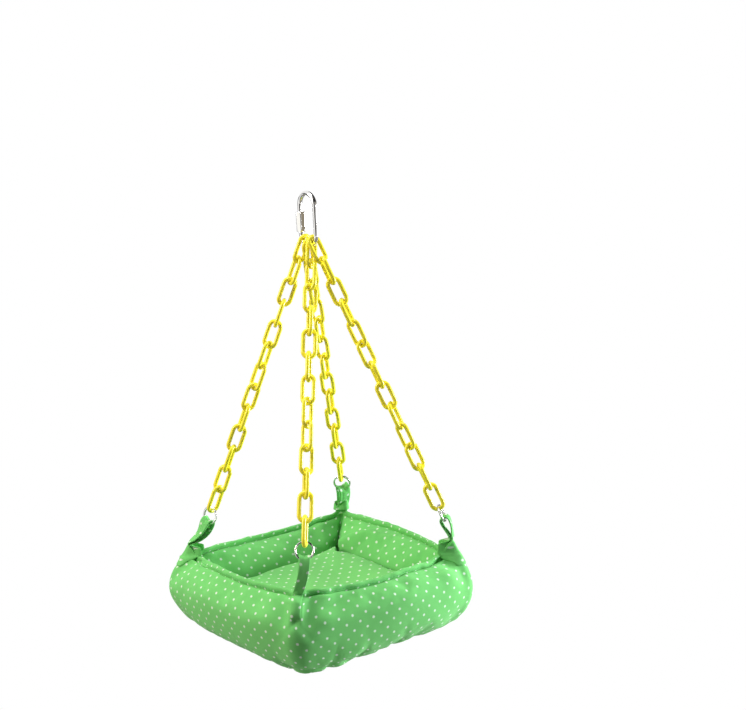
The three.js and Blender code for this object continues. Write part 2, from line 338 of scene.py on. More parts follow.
# a wire that has been drawn out in steps: its steps joined and its ends closed
def close_wire():
    select_all()
    bpy.ops.mesh.remove_doubles(threshold=1e-6)
    bpy.ops.mesh.fill_holes(sides=0)
    bpy.ops.mesh.normals_make_consistent(inside=False)
    close_edit()


def set_values(thing, **values):
    for key, value in values.items():
        setattr(thing, key, value)


def apply_modifier(piece, kind, **values):
    bpy.context.view_layer.objects.active = piece
    modifier = piece.modifiers.new(kind.lower(), kind)
    set_values(modifier, **values)
    bpy.ops.object.modifier_apply(modifier=modifier.name)


def settle(piece, name, material):
    pick(piece)
    bpy.ops.object.transform_apply(location=True, rotation=True, scale=True)
    piece.name = piece.data.name = name
    piece.data.materials.clear()
    piece.data.materials.append(material)
    piece.select_set(False)
    return piece


def new_object(name, data):
    piece = bpy.data.objects.new(name, data)
    scene.collection.objects.link(piece)
    return piece


# a copy of a pattern, turned to three axes and moved to its place
def copy_to(pattern, name, axes, at):
    place = Matrix(axes).transposed().to_4x4()
    place.translation = at
    piece = new_object(name, pattern.data.copy())
    piece.data.transform(place)
    piece.data.name = name
    return piece


def fasten(piece, body, slot, *nodes):
    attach(piece, body)
    if nodes:
        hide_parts(*nodes)
    return piece


def points_of(node):
    return coordinates(frame["nodes"][node])


# one chain link: half a torus, its legs drawn out, and mirrored
def model_link():
    leg = (LINK_LENGTH - LINK_WIDTH) / 2
    bpy.ops.mesh.primitive_torus_add(
        major_radius=(LINK_WIDTH - LINK_WIRE) / 2,
        minor_radius=LINK_WIRE / 2,
        major_segments=36,
        minor_segments=16,
    )
    piece = bpy.context.object
    open_edit()
    choose(piece, lambda co: co.y < -1e-6)
    bpy.ops.mesh.delete(type="VERT")
    choose(piece, lambda co: co.y < 1e-6)
    draw_out(0, -leg, 0)
    choose(piece, lambda co: abs(co.z) < 1e-6)
    bpy.ops.transform.shrink_fatten(value=0.04 * MM)
    select_all()
    bpy.ops.transform.translate(value=(0, leg, 0))
    close_edit()
    apply_modifier(piece, "MIRROR", use_axis=(False, True, False), merge_threshold=1e-5)
    face_outward(piece)
    bpy.ops.object.shade_smooth()
    return settle(piece, "link_pattern", PLASTIC)


def hang_links():
    pattern = model_link()
    for corner in CORNERS:
        for i in range(1, CHAIN_LINKS + 1):
            node = f"chain_{corner}_link_{i:02d}"
            points = points_of(node)
            # the middle of the link's points, or of its box where its facets are uneven
            centre = (points.min(0) + points.max(0)) / 2
            centre = points.mean(0) if np.linalg.norm(points.mean(0) - centre) < 1e-3 else centre
            axes = np.linalg.svd(points - centre, full_matrices=False)[2]
            along, wide = Vector(axes[0]), Vector(axes[1])
            turned = wide, along, wide.cross(along)
            piece = copy_to(pattern, f"{corner}_chain_link_{i:02d}", turned, Vector(centre))
            body = "nest" if i == 1 else f"{corner}_link_{i:02d}"
            fasten(piece, body, "chain_plastic", node)
    bpy.data.objects.remove(pattern)


# the split ring: a flat wire wound 1.85 turns, stepping over at one place
def model_ring():
    bpy.ops.mesh.primitive_circle_add(
        vertices=10, radius=0.5, location=(RING_MEAN, 0, -RING_PITCH / 2), rotation=(math.pi / 2, 0, 0)
    )
    piece = bpy.context.object
    piece.scale = (RING_BAND, RING_COIL, 1)
    bpy.ops.object.transform_apply(location=True, rotation=True, scale=True)
    open_edit()
    select_all()
    count, turn = 84, RING_TURNS * 2 * math.pi
    crossing = math.radians(25)
    height = 0.0
    for i in range(count):
        bpy.ops.mesh.spin(steps=1, angle=turn / count, center=(0, 0, 0), axis=(0, 0, 1))
        t = (i + 1) * turn / count
        x = min(max((t - (turn / 2 - crossing)) / (2 * crossing), 0), 1)
        rise = RING_PITCH * x * x * (3 - 2 * x)
        if rise != height:
            bpy.ops.transform.translate(value=(0, 0, rise - height))
            height = rise
    close_wire()
    bpy.ops.object.shade_smooth()
    return settle(piece, "ring_pattern", STEEL)


def hang_rings():
    pattern = model_ring()
    for corner in CORNERS:
        axis = Vector(joints[f"ring_{corner}_spin"]["axis"])
        up = (chain_top(corner) - rings[corner]).normalized()
        side = axis.cross(up).normalized()
        piece = copy_to(pattern, f"{corner}_split_ring", (side, up, axis), rings[corner])
        fasten(piece, f"ring_{corner}", "polished_steel", f"ring_{corner}")
    bpy.data.objects.remove(pattern)


def chain_top(corner):
    return Vector(points_of(f"chain_{corner}_link_{CHAIN_LINKS:02d}").mean(0))


# the quick link's wire ends inside the nut, this far above the nut's foot
LOWER_END = 2.9 * MM
UPPER_END = 8.1 * MM
THREAD_ROOT = 0.96


# the quick link: wire spun and drawn along its path, with a screw thread at each end
def model_quick_link():
    low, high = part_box("quick_link_body")
    top = high.z - QUICK_WIRE / 2 - QUICK_BEND
    bottom = low.z + QUICK_WIRE / 2 + QUICK_BEND
    nut_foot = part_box("quick_link_nut")[0].z
    tip = nut_foot + LOWER_END
    gate = nut_foot + UPPER_END
    bpy.ops.mesh.primitive_circle_add(vertices=20, radius=QUICK_WIRE / 2, location=(0, QUICK_BEND, tip))
    piece = bpy.context.object
    bpy.ops.object.transform_apply(location=True)
    open_edit()
    select_all()
    draw_thread(QUICK_BEND, tip, bottom, 4)
    bpy.ops.mesh.spin(steps=24, angle=math.pi, center=(0, 0, bottom), axis=(1, 0, 0))
    draw_out(0, 0, top - bottom)
    bpy.ops.mesh.spin(steps=24, angle=math.pi, center=(0, 0, top), axis=(1, 0, 0))
    draw_thread(QUICK_BEND, top, gate, 18)
    close_wire()
    bpy.ops.object.shade_smooth_by_angle(angle=math.radians(50))
    return settle(piece, "quick_link_wire", STEEL)


def draw_thread(y, start, end, turns):
    step = (end - start) / (2 * turns)
    for i in range(2 * turns):
        draw_out(0, 0, step)
        size = THREAD_ROOT if i % 2 == 0 else 1 / THREAD_ROOT
        bpy.ops.transform.resize(value=(size, size, 1), center_override=(0, y, start + (i + 1) * step))


# the sleeve nut: a hexagon bar turned down at its ends and bored through
def model_nut():
    low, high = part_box("quick_link_nut")
    middle = (0, QUICK_BEND, (low.z + high.z) / 2)
    depth = high.z - low.z
    corner = NUT_FLATS / math.sqrt(3)
    play = 0.3 * MM
    bpy.ops.mesh.primitive_cylinder_add(
        vertices=6, radius=corner, depth=depth * 1.2, location=middle, rotation=(0, 0, math.radians(-32))
    )
    piece = bpy.context.object
    open_edit("EDGE")
    choose_edges(piece, upright=True)
    bpy.ops.mesh.bevel(offset=0.55 * MM, segments=4)
    close_edit()
    bpy.ops.mesh.primitive_cylinder_add(vertices=72, radius=corner + play, depth=depth, location=middle)
    turned = bpy.context.object
    open_edit("EDGE")
    choose_edges(turned, upright=False)
    bpy.ops.mesh.bevel(offset=1.0 * MM, segments=1)
    close_edit()
    bore = QUICK_WIRE / 2 + play
    bpy.ops.mesh.primitive_cylinder_add(vertices=48, radius=bore, depth=depth * 1.5, location=middle)
    drill = bpy.context.object
    apply_modifier(piece, "BOOLEAN", operation="INTERSECT", object=turned, solver="EXACT")
    apply_modifier(piece, "BOOLEAN", operation="DIFFERENCE", object=drill, solver="EXACT")
    for tool in (turned, drill):
        bpy.data.objects.remove(tool)
    sharp = math.radians(24)
    apply_modifier(piece, "BEVEL", width=0.14 * MM, segments=2, limit_method="ANGLE", angle_limit=sharp)
    piece.select_set(True)
    bpy.ops.object.shade_smooth_by_angle(angle=math.radians(35))
    return settle(piece, "quick_link_sleeve", STEEL)


# soft goods: square loops of points, as in the solids, each with four sides and four turns
SIDE = 40
TURN = 8
LAP = SIDE + TURN
ROUND = 4 * LAP
WALL_ROWS = 24
INNER_ROWS = 20
BELLY = 18.5 * MM
BELLY_BOW = 4 * MM
BASE_TAPER = 5.5 * MM
TURN_SWELL = 4 * MM
TURN_TAPER = 5 * MM
BASE_DOME = -3 * MM
INNER_STEP = 1.6 * MM
INNER_TAPER = 8 * MM
INNER_ROUND = 3.5 * MM
INNER_INSET = 12 * MM
FLANGE = [(0.4, -1.7), (1.5, -0.6), (1.9, 1.2), (1.8, 3.2), (1.0, 4.4)]
FLANGE += [(-out, up) for out, up in reversed(FLANGE)]
TURN_ORDER = ("back", "left", "front", "right")
PEAKS = {"back": 4 * MM, "left": -3 * MM, "front": 1 * MM, "right": -1.5 * MM}
PEAK_WIDTH = 6 * MM


def swell(t):
    return math.sin(math.pi * t)


def climb(t):
    return (1 - math.cos(math.pi * t)) / 2


# peak draws each corner up to its strap
def square_loop(half, turn_radius, z, sag, bow, inset=0.0, peak=0.0):
    loop = []
    arc = turn_radius * math.pi / 2

    def near(q, d):
        return PEAKS[TURN_ORDER[q % 4]] * math.exp(-(d / PEAK_WIDTH) ** 2)

    for q in range(4):
        c, s = round(math.cos(q * math.pi / 2)), round(math.sin(q * math.pi / 2))
        for i in range(SIDE):
            f = 2 * i / SIDE - 1
            w = (1 - f * f) ** 1.3
            x = half + bow * w - inset * (1 - abs(f) ** 5)
            y = (half - turn_radius) * f
            ahead, behind = ((half - turn_radius) * (1 + k * f) + arc / 2 for k in (-1, 1))
            lift = peak * (near(q, ahead) + near(q - 1, behind))
            loop.append((x * c - y * s, x * s + y * c, z - sag * w + lift))
        for i in range(TURN):
            a = math.pi / 2 * i / TURN
            x = half - turn_radius + turn_radius * math.cos(a)
            y = half - turn_radius + turn_radius * math.sin(a)
            lift = peak * near(q, abs(i / TURN - 0.5) * arc)
            loop.append((x * c - y * s, x * s + y * c, z + lift))
    return np.array(loop)


def outer_half(t):
    return RIM_HALF - BASE_TAPER * (1 - t) + BELLY * swell(t) ** 0.8


def outer_round(t):
    return RIM_ROUND + TURN_SWELL * swell(t) + TURN_TAPER * (1 - t)


def corner_index(q):
    return q * LAP + SIDE + TURN // 2


def sewn_object(name, verts, faces):
    mesh = bpy.data.meshes.new(name)
    mesh.from_pydata([tuple(v) for v in verts], [], faces)
    return new_object(name, mesh)


def cloth_object(name, verts, faces, maps):
    piece = sewn_object(name, verts, faces)
    layer = piece.data.uv_layers.new(name="cloth")
    layer.data.foreach_set("uv", np.array(maps, np.float32).ravel())
    return piece


# the four corners of a face, each as its row and its place along the row
def cell(i, j):
    return (i, j), (i, j + 1), (i + 1, j + 1), (i + 1, j)


# faces between rows of points, where a row closes on itself or is open
def join_rows(rows, count, closed=True, first=0):
    places = [(i, j) for i in range(rows - 1) for j in range(count if closed else count - 1)]
    return [[first + r * count + c % count for r, c in cell(i, j)] for i, j in places]


# the print is measured on the filled wall, up it and around it
def lay_print(piece, rows, crest, outer_row, inner_row):
    count = ROUND
    co = coordinates(piece)[:rows * count].reshape(rows, count, 3)
    rise = np.cumsum(np.linalg.norm(np.diff(co, axis=0), axis=2), axis=0) / DOT_CELL
    rise = np.concatenate([np.zeros((1, count)), rise])
    for _ in range(20):
        rise = (np.roll(rise, 1, axis=1) + rise + np.roll(rise, -1, axis=1)) / 3
    maps = []
    for i in range(rows - 1):
        row = co[outer_row if i < crest else inner_row]
        around = np.linalg.norm(np.roll(row, -1, axis=0) - row, axis=1)
        u = np.concatenate([[0], np.cumsum(around)]) / DOT_CELL
        for j in range(count):
            maps += [(u[c], rise[r, c % count]) for r, c in cell(i, j)]
    layer = piece.data.uv_layers["cloth"]
    whole = np.empty(2 * len(layer.data), np.float32)
    layer.data.foreach_get("uv", whole)
    whole[:2 * len(maps)] = np.array(maps, np.float32).ravel()
    layer.data.foreach_set("uv", whole)


# a flat panel between the four sides of a loop, sewn to the loop's own points
def fill_panel(loop, first, verts, faces, maps, up, dome):
    start = SIDE + TURN // 2
    ring = np.roll(loop, -start, axis=0)
    names = np.roll(np.arange(first, first + ROUND), -start)
    n = LAP
    grid = np.zeros((n + 1, n + 1), int)
    for i in range(n + 1):
        for j in range(n + 1):
            if i == 0:
                grid[i, j] = names[j]
            elif i == n:
                grid[i, j] = names[3 * n - j]
            elif j == n:
                grid[i, j] = names[n + i]
            elif j == 0:
                grid[i, j] = names[(4 * n - i) % (4 * n)]
            else:
                s, t = j / n, i / n
                sides = (1 - t) * ring[j] + t * ring[3 * n - j]
                sides = sides + (1 - s) * ring[(4 * n - i) % (4 * n)] + s * ring[n + i]
                ends = (1 - t) * ((1 - s) * ring[0] + s * ring[n])
                ends = ends + t * ((1 - s) * ring[3 * n] + s * ring[2 * n])
                point = sides - ends
                point[2] += dome * (16 * s * (1 - s) * t * (1 - t)) ** 0.6
                grid[i, j] = len(verts)
                verts.append(point)
    for i in range(n):
        for j in range(n):
            face = [int(grid[x]) for x in cell(i, j)[::1 if up else -1]]
            faces.append(face)
            maps += [tuple(np.array(verts[x][:2]) / DOT_CELL) for x in face]


def coordinates(piece, kind="co"):
    co = np.empty(len(piece.data.vertices) * 3, np.float32)
    piece.data.vertices.foreach_get(kind, co)
    return co.reshape(-1, 3).astype(float)


def reshape(piece, co):
    piece.data.vertices.foreach_set("co", co.astype(np.float32).ravel())
    piece.data.update()


# filling pushes the cloth out between its sewn lines, no further than the cap
def stuff(piece, pins, pressure, spare, cap, give=1.0, frames=20):
    start = coordinates(piece)
    sewn = piece.vertex_groups.new(name="sewn")
    sewn.add([int(i) for i in np.nonzero(pins > 0)[0]], 1.0, "REPLACE")
    cloth = piece.modifiers.new("filling", "CLOTH")
    s = cloth.settings
    set_values(s, quality=5, mass=0.2, vertex_group_mass="sewn", shrink_min=-spare)
    set_values(s, tension_stiffness=18, compression_stiffness=12, shear_stiffness=6, bending_stiffness=0.25)
    set_values(s, use_pressure=True, uniform_pressure_force=pressure)
    s.effector_weights.gravity = 0
    cloth.collision_settings.use_collision = False
    set_values(cloth.point_cache, frame_start=1, frame_end=frames)
    for f in range(1, frames + 1):
        scene.frame_set(f)
    bpy.context.view_layer.objects.active = piece
    bpy.ops.object.modifier_apply(modifier=cloth.name)
    scene.frame_set(1)
    move = coordinates(piece) - start
    far = np.linalg.norm(move, axis=1, keepdims=True)
    reshape(piece, start + give * move * np.minimum(1, cap / np.maximum(far, 1e-9)))
    piece.vertex_groups.clear()


def smooth_cloth(piece, material):
    apply_modifier(piece, "SUBSURF", levels=1, render_levels=1)
    pick(piece)
    bpy.ops.object.shade_smooth()
    settle(piece, piece.name, material)


# the cover's loops: up the outer wall, over the rim's flange and down the inner wall
def cover_loops():
    loops = []
    for i in range(WALL_ROWS):
        t = i / WALL_ROWS
        bow = BELLY_BOW * swell(t) + RIM_BOW * t ** 3
        z = BASE_Z + BED_HEIGHT * climb(t)
        loops.append(square_loop(outer_half(t), outer_round(t), z, RIM_SAG * t ** 3, bow, peak=t ** 7))
    for out, up in FLANGE:
        z = RIM_Z + up * MM
        loops.append(square_loop(RIM_HALF + out * MM, RIM_ROUND + out * MM, z, RIM_SAG, RIM_BOW, peak=1))
    for i in range(1, INNER_ROWS + 1):
        t = 1 - i / INNER_ROWS
        half = RIM_HALF - INNER_STEP - INNER_TAPER * (1 - t)
        z = FLOOR_Z + (RIM_Z - FLOOR_Z) * climb(t)
        inset = INNER_INSET * swell(t)
        loops.append(square_loop(half, INNER_ROUND, z, RIM_SAG * t ** 3, RIM_BOW * t ** 3, inset, t ** 7))
    return loops


def sew_bed():
    loops = cover_loops()
    crest = WALL_ROWS + len(FLANGE) // 2
    inner_top = WALL_ROWS + len(FLANGE)
    outer_row, inner_row = WALL_ROWS // 2, inner_top + INNER_ROWS // 2
    faces = join_rows(len(loops), ROUND)
    maps = [(0.0, 0.0)] * (4 * len(faces))
    verts = [p for loop in loops for p in loop]
    last = (len(loops) - 1) * ROUND
    fill_panel(loops[0], 0, verts, faces, maps, up=False, dome=BASE_DOME)
    fill_panel(loops[-1], last, verts, faces, maps, up=True, dome=0)
    piece = cloth_object("bed_cover_cotton", verts, faces, maps)
    pins = np.zeros(len(verts))
    pins[:ROUND] = 1
    pins[last:] = 1
    pins[WALL_ROWS * ROUND:inner_top * ROUND] = 1
    for i in range(inner_top, len(loops)):
        for q in range(4):
            pins[i * ROUND + corner_index(q)] = 1
    # the walls swell less near the rim's seams
    give = np.ones((len(verts), 1))
    for i in range(WALL_ROWS):
        give[i * ROUND:(i + 1) * ROUND] = min(1, (1 - i / WALL_ROWS) / 0.22)
    for i in range(INNER_ROWS):
        row = inner_top + i
        give[row * ROUND:(row + 1) * ROUND] = min(1, (i + 1) / INNER_ROWS / 0.3)
    stuff(piece, pins, pressure=4.0, spare=0.05, cap=6 * MM, give=give)
    soften_turns(piece)
    lean_bed(piece)
    lay_print(piece, len(loops), crest, outer_row, inner_row)
    tips = {}
    for q, corner in enumerate(TURN_ORDER):
        tips[corner] = piece.data.vertices[crest * ROUND + corner_index(q)].co.copy()
    smooth_cloth(piece, COVER)
    pucker(piece, tips)
    return piece, tips


# the wall's cloth rounds each corner from one side to the next
def soften_turns(piece):
    co = coordinates(piece)
    places = np.arange(ROUND)
    near = np.zeros(ROUND)
    for q in range(4):
        apart = np.abs((places - corner_index(q) + 2 * LAP) % ROUND - 2 * LAP)
        near = np.maximum(near, np.exp(-(apart / TURN) ** 2))
    for row in range(1, WALL_ROWS - 2):
        loop = co[row * ROUND:(row + 1) * ROUND]
        for _ in range(8):
            middle = (np.roll(loop, 1, axis=0) + np.roll(loop, -1, axis=0)) / 2
            loop += 0.5 * near[:, None] * (middle - loop)
    reshape(piece, co)


# the level direction in which the hung bed leans, to its left corner, and the place of its walls
LEAN = (-0.82, 0.57)
WALL_PLACE = 0.055


# the hung bed leans, and its rim rises and dips from side to side; amounts are in millimetres
def lean_bed(piece):
    co = coordinates(piece)
    x, y = co[:, 0].copy(), co[:, 1].copy()
    height = np.clip((co[:, 2] - BASE_Z) / BED_HEIGHT, 0, 1)
    belly = np.clip(np.sin(math.pi * height), 0, 1)
    to_left = np.clip((y - x) / (2 * RIM_HALF), 0, 1.2) ** 3
    to_right = np.clip((x - y) / (2 * RIM_HALF), 0, 1) ** 2
    to_back = np.clip((x + y) / (2 * RIM_HALF), 0, 1) ** 2
    foot, rim, back = 2, 5, 4
    middle, left, right, left_bulge = 4, 4, 9, 7.5
    lean = foot + rim * height - back * to_back * height
    lean = lean + (middle - left * to_left - right * to_right) * belly
    lean = (lean + left_bulge * to_left * belly ** 0.4) * MM
    co[:, 0] += LEAN[0] * lean
    co[:, 1] += LEAN[1] * lean
    base_lift = 5 * to_right + 1.5 * ease(-y, 0.04, 0.08) + 2 * ease(-x, 0.04, 0.08)
    co[:, 2] += base_lift * MM * (1 - height)
    top = ease(height, 0.6, 1)
    left_wall, right_wall, back_wall = x < -WALL_PLACE, y < -WALL_PLACE, x > WALL_PLACE
    rim_dip, left_rise, back_rise = 4 * MM, 3.5 * MM, 5.5 * MM
    for near, along in ((left_wall, RIM_HALF - y), (right_wall, RIM_HALF - x)):
        dip = ease(along, 2 * MM, 9 * MM) * (1 - ease(along, 20 * MM, 60 * MM))
        co[:, 2] -= rim_dip * dip * near * top
    co[:, 2] += left_rise * left_wall * top * np.clip(1 - (y / RIM_HALF) ** 2, 0, 1)
    co[:, 2] += back_rise * back_wall * top * np.clip(1 - ((y - 0.01) / RIM_HALF) ** 2, 0, 1)
    reshape(piece, co)


def bell(x, middle, width):
    return np.exp(-((x - middle) / width) ** 2)


def ease(x, low, high):
    f = np.clip((x - low) / (high - low), 0, 1)
    return f * f * (3 - 2 * f)


# the right wall's tucks along its foot in millimetres, and the front corner's pinch and folds
FOOT_TUCKS = (-66, -34, 8)
PINCH_HEIGHT = 0.79
FOLD_SLOPES = (0.75, -0.8)


# gathers along the seams, dents of the filling, and the corners drawn in by their straps
def pucker(piece, tips):
    co = coordinates(piece)
    away = coordinates(piece, "normal")
    on_x = np.abs(co[:, 0]) > np.abs(co[:, 1])
    radial = np.where(on_x[:, None], co[:, :1] * [[1, 0]], co[:, 1:2] * [[0, 1]])
    radial /= np.maximum(np.linalg.norm(radial, axis=1, keepdims=True), 1e-9)
    facing = (away[:, :2] * radial).sum(1)
    outside = np.clip(facing * 2 + 0.3, 0, 1)
    inside = np.clip(-facing * 2 + 0.3, 0, 1)
    height = (co[:, 2] - BASE_Z) / BED_HEIGHT
    along = np.where(on_x, co[:, 1], co[:, 0])
    rim = np.exp(-np.maximum(1 - height, 0) / 0.16)
    foot = np.exp(-np.maximum(height, 0) / 0.14)
    fine, wide, slow = (np.zeros(len(co)) for _ in range(3))
    for i, p in enumerate(co):
        fine[i] = noise.noise(Vector((p[0] * 95, p[1] * 95, p[2] * 14)))
        wide[i] = noise.noise(Vector((p[0] * 150 + 4, p[1] * 150, p[2] * 22)))
        slow[i] = noise.noise(Vector(p) * 24 + Vector((1, 7, 3)))
    push = 0.5 * rim * fine + 0.3 * rim * wide + 1.2 * foot * outside * fine + 0.6 * foot * outside * wide
    base_seam, dents = 1.4, 1.3
    push -= base_seam * outside * bell(height, 0.11, 0.035)
    push += dents * slow * np.clip(1.5 - 2 * foot - 1.2 * rim, 0, 1)
    right_wall = (co[:, 1] < -0.05) * outside
    for place in FOOT_TUCKS:
        push -= 4.0 * right_wall * bell(along, place * MM, 4 * MM) * foot
    draw_in_corners(push, co, height, outside, tips)
    raise_pillow(push, co, inside * on_x, tips["back"])
    flange = ease(co[:, 2], RIM_Z - RIM_SAG, RIM_Z)
    push *= 1 - 0.75 * flange
    co += away * push[:, None] * MM
    wave = ease(co[:, 2], RIM_Z - 6 * MM, RIM_Z) * np.where(co[:, 1] < -0.06, 1.4, 0.8)
    sideways, upward = 1.2, 0.7
    co[:, :2] += radial * (wave * fine * sideways * MM)[:, None]
    co[:, 2] += wave * wide * upward * MM
    reshape(piece, co)


# each strap draws a valley down either side of its corner, and the front one also pinches the wall below it
def draw_in_corners(push, co, height, outside, tips):
    valley, ridge, pinch, fold = 2.2, 1.5, 2.6, 1.3
    for corner, (sx, sy) in CORNERS.items():
        tip = tips[corner]
        lateral = ((co[:, 0] - tip.x) * -sy + (co[:, 1] - tip.y) * sx) / math.sqrt(2)
        there = (co[:, 0] * sx > 0.045) * (co[:, 1] * sy > 0.045) * outside
        reach = ease(height, 0.6, 0.8)
        push -= there * reach * valley * bell(np.abs(lateral), 11 * MM, 5 * MM)
        push += there * reach * ridge * bell(np.abs(lateral), 24 * MM, 8 * MM)
        if corner == "front":
            down = (PINCH_HEIGHT - height) * BED_HEIGHT
            push -= there * pinch * bell(down, 0, 5 * MM) * bell(lateral, 0, 6 * MM)
            fade = np.exp(-np.maximum(down, 0) / (16 * MM))
            for slope in FOLD_SLOPES:
                apart = (lateral - slope * down) / math.hypot(1, slope)
                push -= there * fold * bell(apart, 0, 2.6 * MM) * ease(down, -2 * MM, 3 * MM) * fade


# the pillow's foot above the floor, how far its upper edge slants from the corner, and its depth
PILLOW_FOOT = 31 * MM
PILLOW_SLANT = 57 * MM
PILLOW_DEPTH = 7


# the filling of one inner wall stands out as a pillow, with a slack triangle towards the back corner
def raise_pillow(push, co, inside, tip):
    low = FLOOR_Z + PILLOW_FOOT
    up = np.clip((co[:, 2] - low) / (RIM_Z - low), 0, 1)
    from_corner = tip.y - 2 * MM - co[:, 1] - PILLOW_SLANT * up ** 2.1
    soft_edge = (2 + 8 * (1 - up) ** 2) * MM
    pillow = ease(from_corner, -2 * MM, soft_edge) * np.exp(-np.maximum(from_corner - 8 * MM, 0) / (26 * MM))
    push += PILLOW_DEPTH * inside * (co[:, 0] > 0) * (co[:, 1] > 0) * pillow * ease(1 - up, 0, 0.1)


# where each point of a sewn panel lies on its cloth: lengths along it from its middle lines
def lay_panel(verts, grid, n):
    u, v = {}, {}
    half = n // 2
    for i in range(n + 1):
        u[i, half], v[half, i] = verts[grid[i, half]].x, verts[grid[half, i]].y
        for step in (1, -1):
            for j in range(half + step, half + step * (half + 1), step):
                u[i, j] = u[i, j - step] + step * (verts[grid[i, j]] - verts[grid[i, j - step]]).length
                v[j, i] = v[j - step, i] + step * (verts[grid[j, i]] - verts[grid[j - step, i]]).length
    return u, v


# the cushion's middle over the floor, its height before it is filled, and its distance from the walls
CUSHION_MIDDLE = Vector((-3.6 * MM, 2.4 * MM, 0))
CUSHION_TALL = 41 * MM
CUSHION_GAP = 0.9 * MM


# how much higher the cushion's top is at a place, in millimetres: it rides up on the back walls
def cushion_puff(a, b):
    puff = 6 * ease(a, 0.1, 0.8) + 2.5 * math.exp(-((a - 0.95) ** 2 + (b - 0.6) ** 2) / 0.2)
    puff += 1.5 * ease(b, 0.4, 0.9) - 2 * math.exp(-((a - 0.65) ** 2 + (b - 0.95) ** 2) / 0.12)
    return puff + 2 * min(a, 0)


# the loose cushion: two panels sewn at the edge, which fill the floor up to the walls
def stuff_cushion(bed_tree):
    n = 36
    middle = CUSHION_MIDDLE
    bottom = FLOOR_Z + 0.3 * MM
    levels = [FLOOR_Z + (4 + 4 * i) * MM for i in range(15)]
    rooms = {}

    def room(angle):
        key = round(angle, 2)
        if key not in rooms:
            aim = Vector((math.cos(key), math.sin(key), 0))
            hits = [bed_tree.ray_cast(middle + Vector((0, 0, z)), aim)[3] for z in levels]
            rooms[key] = min(h for h in hits if h) - CUSHION_GAP
        return rooms[key]

    verts, faces, maps, pins = [], [], [], []
    spots = [math.sin(math.pi / 2 * (2 * i / n - 1)) for i in range(n + 1)]
    seam = {}
    for upper in (False, True):
        grid = {}
        for i, b in enumerate(spots):
            for j, a in enumerate(spots):
                edge = i in (0, n) or j in (0, n)
                if edge and (i, j) in seam:
                    grid[i, j] = seam[i, j]
                    continue
                reach = max(abs(a), abs(b), 1e-6)
                fill = min(max((reach - 0.42) / 0.58, 0), 1)
                t = math.asin(fill ** 7) / math.pi
                t = 0.5 if edge else 1 - t if upper else t
                angle = math.atan2(b, a)
                rounded = 1 - 0.13 * abs(math.sin(2 * angle)) ** 8
                far = (room(angle) - 2 * MM) * reach * rounded
                aim = Vector((a, b, 0)).normalized() if a or b else Vector((0, 0, 0))
                z = bottom + CUSHION_TALL * climb(t) if upper or t > 0.2 else bottom
                z += cushion_puff(a, b) * MM * climb(t)
                grid[i, j] = len(verts)
                verts.append(middle + aim * far + Vector((0, 0, z)))
                pins.append(0 if upper or reach > 0.75 else 1)
                if edge:
                    seam[i, j] = grid[i, j]
        u, v = lay_panel(verts, grid, n)
        for i in range(n):
            for j in range(n):
                face = cell(i, j)[::1 if upper else -1]
                faces.append([grid[x] for x in face])
                maps += [(u[x] / DOT_CELL, v[x] / DOT_CELL) for x in face]
    piece = cloth_object("floor_cushion_cotton", verts, faces, maps)
    stuff(piece, np.array(pins), pressure=2.5, spare=0.03, cap=1.5 * MM)
    smooth_cloth(piece, CUSHION)
    for v in piece.data.vertices:
        dent = noise.noise(v.co * 26 + Vector((5, 2, 9))) * 1.2 * MM
        v.co += v.normal * dent
        flat = Vector((v.co.x - middle.x, v.co.y - middle.y))
        limit = room(math.atan2(flat.y, flat.x))
        if flat.length > limit:
            flat *= limit / flat.length
            v.co.x, v.co.y = middle.x + flat.x, middle.y + flat.y
        v.co.z = max(v.co.z, bottom)
    return piece


# the straps: twist in degrees and how long it holds, half the width, the foot's place out from the rim's
# corner and above it, the tail's length, how it flares and sinks at its end (all in millimetres but the
# flare, a ratio), and where the print starts
STRAP_VALUES = ("twist", "hold", "half", "out", "up", "tail", "flare", "sunk", "print")
STRAPS = {
    "front": (16, 1, 4.9, 0.8, -3.5, 18, 0.85, 1.8, 0.22),
    "right": (0, 1, 5.6, 10, 11.5, 24, 1.5, 0.5, 0.72),
    "back": (34, 5, 6.0, 1.5, -1.5, 24, 1.1, 0.5, 0.22),
    "left": (55, 1, 5.6, 9.5, 10.5, 21, 1.4, 0.5, 0.22),
}
STRAP_LOOP = 3.5 * MM
STRAP_NECK = STRAP_PLY * 0.75
STRAP_COLUMNS = np.linspace(-1, 1, 9)


# the doubled band's path in its own plane: up one ply, round the ring and down the other
def strap_path(total):
    radius = STRAP_LOOP + STRAP_PLY / 2
    steps = 12

    def spread(f):
        return STRAP_NECK + (radius - STRAP_NECK) * (0.5 + 0.5 * math.cos(math.pi * f))

    places = [i / steps for i in range(steps + 1)]
    bends = [math.pi * i / 10 for i in range(1, 10)]
    up = [(-spread(1 - f), (1 - f) * total) for f in places]
    over = [(-radius * math.cos(a), -radius * math.sin(a)) for a in bends]
    down = [(spread(f), f * total) for f in places]
    return up + over + down


